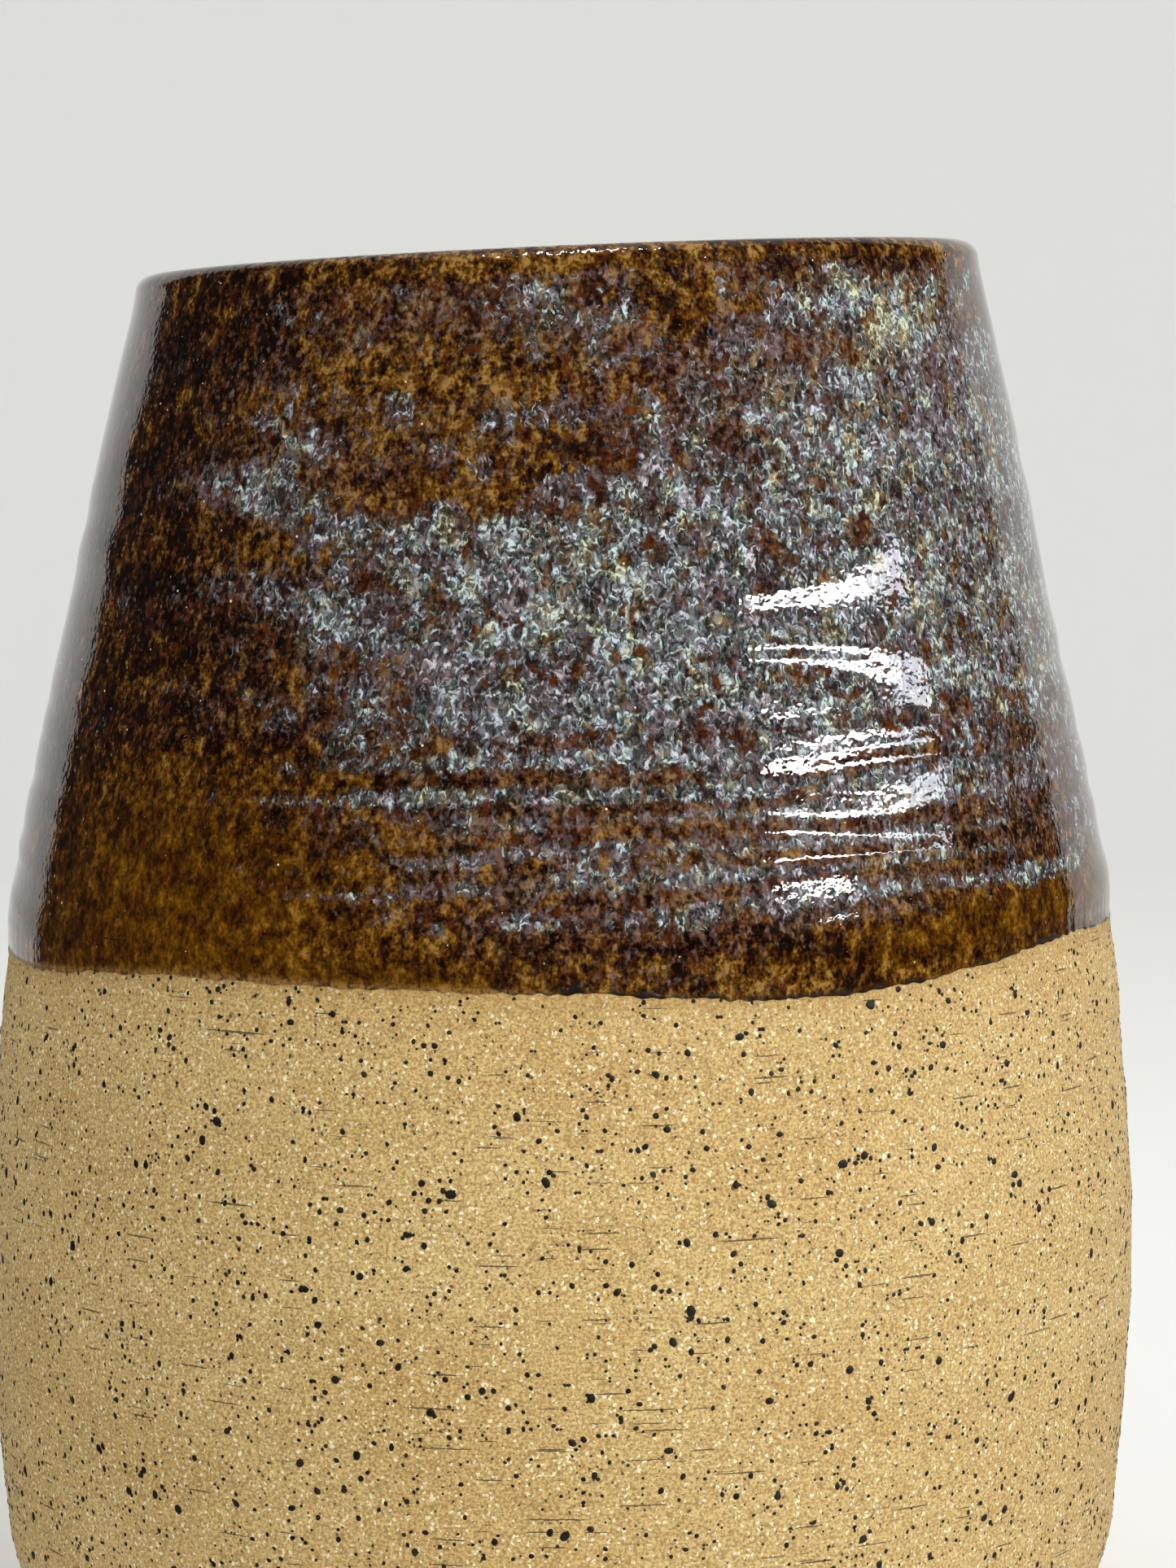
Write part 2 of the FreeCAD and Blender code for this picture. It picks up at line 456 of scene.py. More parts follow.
class Shader:
    """A material's node tree, with one short call per node."""

    def __init__(self, name):
        self.material = bpy.data.materials.new(name)
        self.material.use_nodes = True
        self.tree = self.material.node_tree
        self.bsdf = self.tree.nodes["Principled BSDF"]
        self.place = self.tree.nodes.new("ShaderNodeTexCoord").outputs["Object"]

    def node(self, kind, inputs=(), **settings):
        """A new node, with each input set to a number or linked to another node's output."""
        node = self.tree.nodes.new(kind)
        for key, value in settings.items():
            setattr(node, key, value)
        for key, value in dict(inputs).items():
            self.set(node.inputs[key], value)
        return node

    def set(self, socket, value):
        if isinstance(value, bpy.types.NodeSocket):
            self.tree.links.new(value, socket)
        else:
            socket.default_value = value

    def stretched(self, scale, shift=(0, 0, 0)):
        """Object coordinates, in units of 1 / scale metres along each axis."""
        inputs = {"Vector": self.place, "Scale": scale, "Location": shift}
        return self.node("ShaderNodeMapping", inputs).outputs["Vector"]

    def noise(self, vector, detail=2.0, roughness=0.5, distortion=0.0, output="Fac"):
        inputs = {"Vector": vector, "Scale": 1.0, "Detail": detail, "Roughness": roughness,
                  "Distortion": distortion}
        return self.node("ShaderNodeTexNoise", inputs).outputs[output]

    def cells(self, vector, output="Distance"):
        """Scattered round cells: how far their middle is, or a colour that differs from cell to cell."""
        return self.node("ShaderNodeTexVoronoi", {"Vector": vector, "Scale": 1.0}).outputs[output]

    def math(self, kind, a, b=0.0, c=0.0, clamp=False):
        return self.node("ShaderNodeMath", {0: a, 1: b, 2: c}, operation=kind, use_clamp=clamp).outputs[0]

    def vector(self, kind, a, b=(0, 0, 0), scale=1.0):
        return self.node("ShaderNodeVectorMath", {0: a, 1: b, 3: scale}, operation=kind).outputs[0]

    def span(self, value, low, high, to_low=0.0, to_high=1.0):
        """value from low..high to to_low..to_high, held at the ends."""
        inputs = {"Value": value, "From Min": low, "From Max": high, "To Min": to_low, "To Max": to_high}
        return self.node("ShaderNodeMapRange", inputs, interpolation_type="SMOOTHSTEP").outputs["Result"]

    def mix(self, share, a, b, blend="MIX"):
        node = self.node("ShaderNodeMix", {0: share, 6: a, 7: b}, data_type="RGBA", blend_type=blend)
        return node.outputs[2]

    def ramp(self, value, *stops):
        node = self.node("ShaderNodeValToRGB", {"Fac": value})
        marks = node.color_ramp.elements
        while len(marks) < len(stops):
            marks.new(0.5)
        for mark, (place, colour) in zip(marks, stops):
            mark.position = place
            mark.color = colour
        return node.outputs["Color"]

    def painted(self, name):
        return self.node("ShaderNodeAttribute", attribute_name=name).outputs["Fac"]

    def bump(self, height, distance, normal=None):
        inputs = {"Height": height, "Distance": distance}
        if normal is not None:
            inputs["Normal"] = normal
        return self.node("ShaderNodeBump", inputs).outputs["Normal"]

    def finish(self, **inputs):
        for key, value in inputs.items():
            self.set(self.bsdf.inputs[key.replace("_", " ")], value)
        return self.material


def colour(hex_code):
    """An sRGB hex colour as linear RGBA."""
    parts = [int(hex_code[i:i + 2], 16) / 255 for i in (0, 2, 4)]
    return (*[c / 12.92 if c <= 0.04045 else ((c + 0.055) / 1.055) ** 2.4 for c in parts], 1.0)


def clay_ground(s, sand):
    """Mottled tan, with darker and lighter grains of sand."""
    cloud = s.noise(s.stretched((45, 45, 70)), detail=3)
    base = s.ramp(cloud, (0.30, colour("C6A668")), (0.5, colour("CBAE71")), (0.72, colour("CFB478")))
    base = s.mix(s.span(sand, 0.36, 0.60), s.mix(0.64, base, colour("9F8046"), "MULTIPLY"), base)
    base = s.mix(s.span(sand, 0.56, 0.72, 0, 0.5), base, colour("E2CD96"))
    blotch = s.noise(s.stretched((700, 700, 1100), (2.0, 6.0, 1.0)), detail=2)
    return s.mix(s.span(blotch, 0.54, 0.72, 0, 0.28), base, colour("A88C54"))


def clay_material():
    """Sandy buff stoneware: mottled tan, pale grog, fine iron dust and trimming scratches."""
    s = Shader("bare_stoneware")
    sand = s.noise(s.stretched((3300, 3300, 3300)), detail=2, roughness=0.6)
    base = clay_ground(s, sand)

    # cream grog and iron dust, in crumbs with broken outlines
    broken = s.noise(s.stretched((2400, 2400, 2400), (5.0, 3.0, 1.0)), detail=1, output="Color")
    broken = s.vector("SUBTRACT", broken, (0.5, 0.5, 0.5))
    grog = crumbs(s, 2000, s.vector("SCALE", broken, scale=1.2), 0.10, 0.50)
    base = s.mix(s.span(grog, 0.0, 0.11, 0, 0.85), base, colour("F4E6BC"))
    chip = crumbs(s, 800, s.vector("SCALE", broken, scale=0.7), 0.62, 0.26)
    base = s.mix(s.span(chip, 0.0, 0.05, 0, 0.85), base, colour("F4E8C4"))
    dust = crumbs(s, 1500, s.vector("SCALE", broken, scale=0.7), 0.15, 0.31)
    base = s.mix(s.span(dust, 0.0, 0.07, 0, 0.9), base, colour("3A2E1E"))

    # short level scratches left by trimming, the stain near the glaze, and clay that darkens towards the
    # glaze edge
    ragged = s.vector("MULTIPLY", broken, (0.10, 0.10, 0.75))
    scratch = s.math("MAXIMUM", scratches(s, 190, 4200, 0.72, ragged), scratches(s, 95, 3600, 0.80, ragged))
    base = s.mix(s.math("MULTIPLY", scratch, 0.85), base, colour("4A3820"))
    base = s.mix(s.painted("stain_and_darkening"), base, colour("9A7434"))

    # fine relief: sandy grain, combed level, with scratches cut in and grog standing out
    grain = s.noise(s.stretched((2900, 2900, 3300)), detail=2, roughness=0.7)
    combed = s.noise(s.stretched((260, 260, 3600)), detail=2)
    fine = s.math("ADD", grain, s.math("MULTIPLY", combed, 0.6))
    fine = s.math("SUBTRACT", fine, scratch)
    fine = s.math("ADD", fine, s.span(grog, 0.0, 0.10, 0, 0.4))
    normal = s.bump(fine, 0.00016)
    return s.finish(Base_Color=base, Roughness=s.span(sand, 0.3, 0.7, 0.72, 0.92), Normal=normal)


def crumbs(s, scale, warp, rarest, size):
    """Scattered crumbs, as how far inside one a point lies: only cells over the rarest share hold one."""
    at = s.vector("ADD", s.stretched((scale, scale, scale), (scale / 300, 1.7, 0.4)), warp)
    present = s.span(s.cells(at, "Color"), rarest, 1.0, 0.0, size)
    return s.math("SUBTRACT", present, s.cells(at), clamp=True)


def scratches(s, along, across, rarest, warp):
    """Level scratches up to 900 / along mm long, from 0 to 1."""
    at = s.vector("ADD", s.stretched((along, along, across), (along, 0.9, 0.2)), warp)
    present = s.span(s.cells(at, "Color"), rarest, 1.0, 0.0, 0.46)
    return s.span(s.math("SUBTRACT", present, s.cells(at), clamp=True), 0.0, 0.10)


def speck_material():
    """Near-black melted iron."""
    s = Shader("melted_iron")
    tone = s.noise(s.stretched((900, 900, 900)), detail=2)
    base = s.ramp(tone, (0.35, colour("14120B")), (0.6, colour("26211A")), (0.8, colour("40341F")))
    return s.finish(Base_Color=base, Roughness=0.6, Specular_IOR_Level=0.25)


def glaze_warmth(s, broad, calm, clouded):
    """How light the warm ground is, about 0.5: soft blobs and grain, which lie evener where it is calm,
    raised where ochre is painted and lowered by painted shade.
    """
    blobs = s.noise(s.stretched((1300, 1300, 980)), detail=2, roughness=0.55)
    grain = s.noise(s.stretched((3300, 3300, 2700)), detail=1)
    pools = s.noise(s.stretched((520, 520, 420), (2.0, 7.0, 5.0)), detail=1)
    warm = s.math("ADD", s.math("MULTIPLY", blobs, 0.72), s.math("MULTIPLY", grain, 0.42))
    pooled = s.math("MULTIPLY", s.math("SUBTRACT", pools, 0.5), s.span(calm, 0.0, 1.0, 0.35, 0.5))
    warm = s.math("ADD", warm, pooled)
    warm = s.math("ADD", warm, s.span(broad, 0.3, 0.7, -0.06, 0.06))
    warm = s.math("SUBTRACT", warm, 0.57)
    even = s.math("MAXIMUM", calm, s.math("MULTIPLY", clouded, 0.75))
    warm = s.math("MULTIPLY", warm, s.span(even, 0.0, 1.0, 1.25, 0.55))
    return s.math("ADD", s.math("ADD", warm, 0.5), s.math("MULTIPLY", s.painted("ochre_and_shade"), 0.055))


def glaze_ground(s):
    """Warm ground of the glaze: soft amber and umber blobs, rusty spots and near-black blots."""
    broad = s.noise(s.stretched((330, 330, 240), (1, 2, 3)), detail=2)
    calm = s.painted("calm")
    clouded = s.painted("cloud")
    warm = glaze_warmth(s, broad, calm, clouded)
    umber = s.ramp(
        warm,
        (0.34, colour("0C0402")),
        (0.42, colour("241108")),
        (0.49, colour("371D0E")),
        (0.55, colour("482C17")),
        (0.62, colour("5F432A")),
        (0.72, colour("7C6048")),
    )
    amber = s.ramp(
        warm,
        (0.34, colour("110601")),
        (0.42, colour("2B1404")),
        (0.49, colour("402407")),
        (0.55, colour("51340B")),
        (0.62, colour("6C4914")),
        (0.72, colour("8C6B3A")),
    )
    share = s.math("ADD", s.math("ADD", s.painted("gold"), calm), s.span(broad, 0.35, 0.65, -0.25, 0.25))
    ground = s.mix(s.span(share, 0.0, 0.6), umber, amber)
    rust = s.noise(s.stretched((760, 760, 600), (4.0, 8.0, 2.0)), detail=2, roughness=0.5)
    rust = s.math("ADD", s.span(rust, 0.54, 0.70, 0, 0.75), s.math("MULTIPLY", clouded, 0.35))
    rust = s.math("SUBTRACT", rust, s.math("MULTIPLY", calm, 0.4), clamp=True)
    ground = s.mix(rust, ground, colour("4E240C"))
    blot = s.noise(s.stretched((700, 700, 560), (9.0, 4.0, 6.0)), detail=2, roughness=0.5)
    blot = s.math("SUBTRACT", s.span(blot, 0.57, 0.68, 0, 0.80), s.math("MULTIPLY", calm, 0.6), clamp=True)
    ground = s.mix(blot, ground, colour("150D0B"))
    return s.mix(calm, ground, (0.98, 0.88, 0.30, 1.0), "MULTIPLY")


def arcs(s, drift, width, shift):
    """Little hooked threads, as the upper rims of soft cells that hang down the wall."""
    scale = 1000 / width
    at = s.vector("ADD", s.stretched((scale, scale, scale * 0.72), shift), drift)
    cell = s.node("ShaderNodeTexVoronoi", {"Vector": at, "Scale": 1.0})
    away = s.vector("SUBTRACT", at, cell.outputs["Position"])
    upward = s.node("ShaderNodeSeparateXYZ", {0: away}).outputs["Z"]
    rim = s.math("ABSOLUTE", s.math("SUBTRACT", cell.outputs["Distance"], 0.40))
    rim = s.span(rim, 0.17, 0.05)
    return s.math("MULTIPLY", rim, s.span(upward, -0.12, 0.16, 0.12, 1.0))


def glaze_ripple(s):
    """The faint waviness of a melted skin."""
    ripple = s.noise(s.stretched((1350, 1350, 1250)), detail=1, roughness=0.5)
    return s.bump(ripple, 0.000026)


def liner_material():
    """The inside's plain amber-brown glaze."""
    s = Shader("plain_liner_glaze")
    return s.finish(Base_Color=glaze_ground(s), Roughness=0.06, Normal=glaze_ripple(s))


def hanging_threads(s, curl, streaks):
    """Threads that curl and hang down the wall, from 0 to 1.1."""
    drift = s.vector("SCALE", curl, scale=1.5)
    hooks = s.math("MAXIMUM", arcs(s, drift, 1.20, (0, 0, 0)), arcs(s, drift, 0.86, (3.3, 5.1, 2.7)))
    return s.math("ADD", s.math("MULTIPLY", hooks, 0.55), s.span(streaks, 0.36, 0.66, 0.0, 0.55))


def melt_cover(s, streaks):
    """How far the pale melt covers the ground."""
    patches = s.noise(s.stretched((230, 230, 190)), detail=3, roughness=0.6)
    spots = s.noise(s.stretched((600, 600, 480), (2.0, 5.0, 1.0)), detail=2, roughness=0.5)
    cover = s.math("MULTIPLY", s.painted("cloud"), 1.18)
    cover = s.math("ADD", cover, s.span(patches, 0.3, 0.7, -0.34, 0.34))
    cover = s.math("SUBTRACT", cover, s.span(spots, 0.54, 0.72, 0.0, 0.85))
    return s.math("ADD", cover, s.span(streaks, 0.3, 0.7, -0.22, 0.22))


def pale_melt(s, threads, cover, tint):
    """Cool tones, from the slate between the threads to their white."""
    mottle = s.noise(s.stretched((270, 270, 210), (8.0, 3.0, 5.0)), detail=2, roughness=0.6)
    light = s.math("ADD", s.math("MULTIPLY", threads, 0.70), s.span(cover, 0.1, 1.1, 0.0, 0.30))
    light = s.math("ADD", light, s.span(mottle, 0.3, 0.7, -0.13, 0.13))
    light = s.math("ADD", light, s.math("MULTIPLY", s.painted("cream"), 0.06))
    cool = s.ramp(
        light,
        (0.06, colour("191613")),
        (0.26, colour("272522")),
        (0.44, colour("413F3C")),
        (0.62, colour("605F5C")),
        (0.80, colour("8E918D")),
        (1.00, colour("C4C8C1")),
    )
    hue = s.ramp(
        tint,
        (0.34, (1.00, 0.88, 1.00, 1)),
        (0.44, (0.90, 0.97, 1.16, 1)),
        (0.54, (0.87, 1.02, 1.08, 1)),
        (0.62, (0.95, 1.04, 0.94, 1)),
        (0.74, (1.08, 1.05, 0.74, 1)),
    )
    return s.mix(1.0, cool, hue, "MULTIPLY")


def milky_wisps(s, surface, cover, tint, streaks):
    """The surface with milky mauve and tan wisps over its bare ground."""
    milk = s.noise(s.stretched((1500, 1500, 1150), (6.0, 2.0, 7.0)), detail=2, roughness=0.55)
    milk = s.math("ADD", milk, s.math("MULTIPLY", s.painted("haze"), 0.12))
    milk = s.math("ADD", milk, s.span(cover, -0.2, 0.4, 0.0, 0.05))
    milk = s.math("SUBTRACT", milk, s.math("MULTIPLY", s.painted("gold"), 0.055))
    milk = s.math("SUBTRACT", milk, s.math("MULTIPLY", s.painted("calm"), 0.12))
    mauve = s.ramp(tint, (0.4, colour("6A5758")), (0.52, colour("6C5A50")), (0.64, colour("866846")))
    shade = s.ramp(streaks, (0.36, (0.55, 0.55, 0.58, 1)), (0.64, (1.4, 1.4, 1.4, 1)))
    mauve = s.mix(1.0, mauve, shade, "MULTIPLY")
    return s.mix(s.span(milk, 0.54, 0.78, 0, 0.72), surface, mauve)


def small_marks(s, surface, curl):
    """The surface with dark maroon blots, short dark level dashes where it is calm, and pale pinpricks that
    are painted glints of light as well as pinprick bubbles.
    """
    calm = s.painted("calm")
    blots = s.span(crumbs(s, 390, curl, 0.30, 0.44), 0.0, 0.22, 0.0, 0.85)
    blots = s.math("MULTIPLY", blots, s.span(calm, 0.0, 1.0, 1.0, 0.5))
    surface = s.mix(blots, surface, colour("200F0B"))
    dashes = scratches(s, 200, 3400, 0.86, s.vector("SCALE", curl, scale=0.5))
    dashes = s.math("MULTIPLY", dashes, s.span(calm, 0.2, 0.9, 0.0, 0.75))
    surface = s.mix(dashes, surface, colour("1A1008"))
    # pale pinpricks: painted glints of light, and pinprick bubbles
    glints_and_bubbles = crumbs(s, 700, (0, 0, 0), 0.45, 0.11)
    return s.mix(s.span(glints_and_bubbles, 0.0, 0.02, 0, 0.85), surface, colour("EADCC2"))


def glossy_skin(s):
    """A nearly smooth skin with sparse tiny blisters that catch the light, and dimples where painted."""
    blister = s.span(s.cells(s.stretched((500, 500, 500), (0.5, 0.2, 0.7))), 0.10, 0.0)
    normal = s.bump(blister, 0.00013, glaze_ripple(s))
    peel = s.noise(s.stretched((1150, 1150, 1150), (2.0, 2.0, 9.0)), detail=1)
    return s.bump(s.math("MULTIPLY", peel, s.painted("peel")), 0.00022, normal)


def outer_glaze_material():
    """Amber-brown glaze that breaks into pale curling threads where painted."""
    s = Shader("streaked_outer_glaze")
    curl = s.noise(s.stretched((860, 860, 640)), detail=2, output="Color")
    curl = s.vector("SUBTRACT", curl, (0.5, 0.5, 0.5))
    pulled = s.vector("SCALE", curl, scale=3.0)
    streak_at = s.vector("ADD", s.stretched((1600, 1600, 830), (5, 1, 2)), pulled)
    streaks = s.noise(streak_at, detail=2, roughness=0.55, distortion=1.1)
    tint = s.noise(s.stretched((420, 420, 300), (7.0, 0.0, 3.0)), detail=2)
    tint = s.math("ADD", tint, s.math("MULTIPLY", s.painted("cream"), 0.12))

    cover = melt_cover(s, streaks)
    melt = pale_melt(s, hanging_threads(s, curl, streaks), cover, tint)
    surface = s.mix(s.span(cover, 0.05, 0.72), glaze_ground(s), melt)
    surface = milky_wisps(s, surface, cover, tint, streaks)
    surface = small_marks(s, surface, curl)

    # the lower edge: thin and see-through, and outside the thin left stretch a dark line of painted shadow
    # along it
    thin = s.painted("thin")
    edge_shadow = s.painted("edge_shadow")
    frayed = s.math("MULTIPLY", thin, s.span(streaks, 0.38, 0.62, 0.05, 1.0))
    surface = s.mix(frayed, surface, colour("946A2A"))
    surface = s.mix(edge_shadow, surface, colour("1B0D05"))
    dull = s.span(s.math("MAXIMUM", thin, edge_shadow), 0.1, 0.9, 0.05, 0.40)
    return s.finish(Base_Color=surface, Roughness=dull, Normal=glossy_skin(s))


# ---------------------------------------------------------------- glaze pattern

# Soft patches, as (degrees to the right of the front, level, half width in degrees, half height,
# strength). A level is a height along the throwing rings.
CLOUDS = (
    (-36, 137, 8, 4.5, 0.75),
    (-29, 131, 7, 3.5, 0.6),
    (-23, 125, 7, 5, 0.3),
    (-2, 121, 24, 11, 0.78),
    (20, 120, 20, 13, 0.76),
    (-6, 110.7, 20, 2.8, 0.95),
    (-24, 110.5, 6, 1.5, 0.5),
    (12, 111, 14, 3, 0.6),
    (-14, 103.5, 5, 2.6, 0.8),
    (-2, 103, 8, 2, 0.5),
    (24, 104, 20, 3.6, 0.6),
    (50, 103, 14, 3, 0.75),
    (5, 97.5, 24, 1.8, 0.35),
    (45, 136, 28, 4.5, 0.92),
    (68, 137, 14, 5, 0.8),
    (44, 150, 14, 5.5, 0.95),
    (23, 148.5, 4.5, 3.5, 0.5),
    (4, 151.5, 6, 3.5, 0.5),
    (-8, 151, 5, 3, 0.3),
    (34, 142, 11, 5, 0.6),
    (7, 135.5, 6, 3, 0.5),
    (14, 139.5, 6, 3.5, 0.5),
    (20, 144.5, 4, 3, 0.4),
    (56, 143, 14, 8, 0.75),
    (60, 112, 22, 3.2, 1.0),
    (50, 123, 18, 12, 0.82),
    (78, 124, 18, 28, 0.75),
)
CLOUD_BANDS = (
    (4, 107.2, 34, 1.0, 0.6),
    (12, 103.4, 34, 1.0, 0.6),
    (34, 101.0, 34, 1.0, 0.85),
    (10, 97.7, 34, 1.0, 0.8),
    (20, 95.1, 38, 0.8, 0.75),
    (28, 92.3, 32, 1.1, 0.85),
    (54, 92.2, 14, 1.0, 0.6),
)
BARE_BANDS = (
    (0, 108.8, 26, 0.8, 0.6),
    (4, 105.3, 34, 0.8, 0.85),
    (8, 102.2, 40, 0.7, 0.75),
    (4, 99.4, 36, 0.8, 0.9),
    (10, 96.4, 40, 0.5, 0.8),
    (10, 93.8, 40, 0.6, 0.8),
)
BARE = (
    (27, 123, 5, 4, 0.4),
    (54, 97.5, 14, 2.2, 0.5),
    (20, 131, 5, 2.5, 0.35),
)
OCHRES = (
    (-4, 144, 10, 7, 1.0),
    (-24, 143, 12, 6, 0.7),
    (12, 151, 10, 4, 0.8),
    (-13, 134, 12, 5, 0.6),
    (-12, 149, 10, 4, 0.5),
    (-44, 90, 26, 6, 0.6),
    (-44, 102, 22, 9, 0.3),
    (60, 87, 20, 3, 0.4),
)
# Dark patches. The large ones at the left, from -68 to -45 degrees, are the glaze's own darker colour and
# also painted shade on the side away from the key lamp.
DARKS_AND_LEFT_SHADE = (
    (-62, 138, 17, 24, 0.97),
    (-45, 152, 14, 8, 0.97),
    (-51, 136, 12, 12, 0.85),
    (-51, 122, 12, 16, 0.8),
    (-33, 118, 10, 12, 0.35),
    (-68, 104, 14, 14, 0.7),
    (-20, 108, 14, 4, 0.3),
    (12, 88.0, 24, 2.4, 0.25),
    (31, 154, 5, 3, 0.7),
    (14, 151, 2.5, 2, 0.9),
    (18, 143, 6, 7, 0.4),
    (-4, 136.5, 1.8, 2.4, 0.95),
    (50, 97, 8, 3, 0.5),
)
CREAMS = (
    (42, 148, 10, 5, 1.0),
    (54, 112.3, 18, 2.6, 1.2),
    (38, 135, 16, 4, 0.7),
    (-10, 110.5, 9, 2.5, 0.6),
    (6, 125, 4, 6, 0.7),
)
HAZES = (
    (-37, 149, 9, 5, 0.9),
    (-42, 134, 10, 10, 0.8),
    (-25, 104, 8, 8, 0.25),
    (-14, 98, 18, 3.5, 0.5),
    (16, 98, 30, 5, 0.8),
    (25, 89, 35, 3, 0.5),
    (8, 86.5, 16, 2.6, 0.5),
    (-10, 150, 14, 6, 0.5),
    (20, 145, 16, 8, 0.55),
    (55, 145, 14, 10, 0.6),
    (55, 123, 16, 12, 0.3),
    (55, 98, 12, 4, 0.5),
    (180, 122, 80, 40, 0.4),
)
CALMS = (
    (-44, 92, 30, 16, 0.95),
    (62, 88, 22, 4, 0.8),
    (-16, 86.2, 14, 2.4, 0.6),
    (38, 86.4, 18, 3.4, 0.6),
    (150, 92, 60, 6, 0.7),
)


def patchwork(front, level, patches):
    """Soft patches laid over each other, from 0 to 1."""
    bare = np.ones(front.shape)
    for turn, at, wide, tall, strength in patches:
        away = np.abs((front - turn + 180) % 360 - 180) / wide
        reach = away**2 + ((level - at) / tall) ** 2
        bare *= 1 - strength * np.exp(-reach**1.2)
    return 1 - bare


def back_patches(count, seed):
    """Clouds for the side away from the front, in the same sizes as those in front."""
    rng = np.random.default_rng(seed)
    return [(rng.uniform(100, 262), rng.uniform(92, 151), rng.uniform(9, 28), rng.uniform(2, 9),
             rng.uniform(0.45, 0.9)) for _ in range(count)]


def glaze_pattern(piece, points):
    """How cloudy, golden, light, dimpled, calm, hazy and creamy the outer coat is at each point, with
    painted shade at its left side.
    """
    height = points[:, :, 2]
    front = np.broadcast_to(FRONT, height.shape)
    angle = np.broadcast_to(ANGLES, height.shape)
    level = ring_level(angle, height)
    wobble = waves(angle, level, 1.0, 12, 14, 14, 59)
    ragged = waves(angle, level, 1.0, 46, 5, 24, 71)
    level_soft = level + 0.8 * wobble + 0.8 * ragged
    front_soft = front + 2.5 * waves(angle, level, 1.0, 10, 12, 12, 58)
    tight = rings(level, ((3.4, 1.0), (2.3, 0.5)), 9) * ease(116, 106, level)
    banded = level + 0.3 * wobble

    cloud = patchwork(front_soft, level_soft, CLOUDS + tuple(back_patches(26, 83)))
    cloud = 1 - (1 - cloud) * (1 - patchwork(front_soft, banded, CLOUD_BANDS))
    cloud = cloud * (1 - patchwork(front_soft, banded, BARE_BANDS))
    cloud = cloud * (1 - patchwork(front_soft, level_soft, BARE))
    cloud = 0.04 + 0.92 * cloud + waves(angle, level, 0.09, 16, 8, 16, 61) - 0.10 * tight
    cloud -= 0.9 * ease(154.5, 157.0, level)
    cloud -= 0.5 * ease(6.5, 4.0, height - glaze_edge(ANGLES))
    calm = patchwork(front, level, CALMS)
    # dark patches of the glaze, with painted shade at the left side
    dark_and_shade = patchwork(front_soft, level_soft, DARKS_AND_LEFT_SHADE)
    cloud -= 0.45 * calm + 0.3 * dark_and_shade
    ochre_and_shade = patchwork(front_soft, level_soft, OCHRES)
    ochre_and_shade += 1.0 * ease(154.8, 156.8, level) * ease(-45, -20, front)
    ochre_and_shade += waves(angle, level, 0.22, 9, 14, 14, 67) - 0.16 * tight
    peel = 0.10 + 0.90 * ease(152, 156.8, level) * ease(-60, -20, front) * ease(24, 8, front)
    haze = patchwork(front_soft, level_soft, HAZES) + 0.3 * cloud - 0.4 * dark_and_shade
    cream = patchwork(front_soft, level_soft, CREAMS) + waves(angle, level, 0.3, 6, 20, 10, 69)
    cream += 0.15 * ease(16, 38, front) * ease(100, 70, front)

    paint(piece, "cloud", np.clip(cloud, -0.6, 1.1))
    paint(piece, "gold", np.clip(ochre_and_shade + 0.15 * dark_and_shade - 0.4 * cloud, 0, 1.3))
    # ochre lifts the warm ground, and the painted shade at the left lowers it nearly to black
    paint(piece, "ochre_and_shade", np.clip(ochre_and_shade - 2.1 * dark_and_shade, -2.2, 1.3))
    paint(piece, "peel", peel)
    paint(piece, "calm", calm)
    paint(piece, "haze", np.clip(haze, -0.6, 1))
    paint(piece, "cream", np.clip(cream - 0.15, -0.8, 1.2))


def glaze_edge_pattern(piece, points):
    """Where the outer coat's lower edge is thin, and where a dark line of painted shadow runs along it."""
    height = points[:, :, 2]
    above = height - glaze_edge(ANGLES)
    low = height < 100
    soft_side = ease(3, -8, FRONT) * ease(-130, -100, FRONT)
    thin = ease(1.1, 0.1, above) * (0.15 + 0.85 * soft_side) * low
    # how wide and dark the painted shadow line is, round the vase
    shadow_waver = waves(ANGLES, 0, 0.5, 120, ENDLESS, 40, 47)
    edge_shadow = ease(0.5 + 0.9 * np.maximum(shadow_waver, 0), 0.1, above) * (0.75 + 0.4 * shadow_waver)
    paint(piece, "thin", np.clip(thin, 0, 1))
    paint(piece, "edge_shadow", np.clip(edge_shadow * (1 - soft_side) * low, 0, 1))


def clay_pattern(piece, points):
    """The stain that the glaze leaves in the clay just below it, and a broader band that darkens the clay
    towards the glaze edge.
    """
    below = points[:, :, 2] - glaze_edge(ANGLES)
    stain_and_darkening = ease(-2.2, 0.2, below) * 0.3 + ease(-9, -1, below) * 0.14
    paint(piece, "stain_and_darkening", stain_and_darkening[:, ::-1])


# ---------------------------------------------------------------- build

clay, clay_points, clay_outward = clay_body()
specks = iron_specks(clay_points, clay_outward)
glaze, glaze_points = outer_glaze()
liner = liner_glaze()
clay_pattern(clay, clay_points)
glaze_pattern(glaze, glaze_points)
glaze_edge_pattern(glaze, glaze_points)

for piece, material, node, slot in (
    (clay, clay_material(), "clay_body", "stoneware_clay"),
    (glaze, outer_glaze_material(), "outer_glaze", "outer_glaze"),
    (liner, liner_material(), "liner_glaze", "liner_glaze"),
    (specks, speck_material(), None, "stoneware_clay"),
):
    piece.data.materials.append(material)
    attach(piece, "root")
    if node:
        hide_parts(node)


# ---------------------------------------------------------------- studio

AIM_HEIGHT = 0.1  # the vase's middle, in metres
BLACK = (0.015, 0.015, 0.015)
ROOM_RADIUS = 900
FLOOR_REACH = 900  # radius of the floor's flat part, and of the curve beyond it
SCREEN_RADIUS = 150
SCREEN_TOP = ((25, 117), (48, 117), (52, 123.5), (65, 123.5), (78, 123.5))  # turn and height


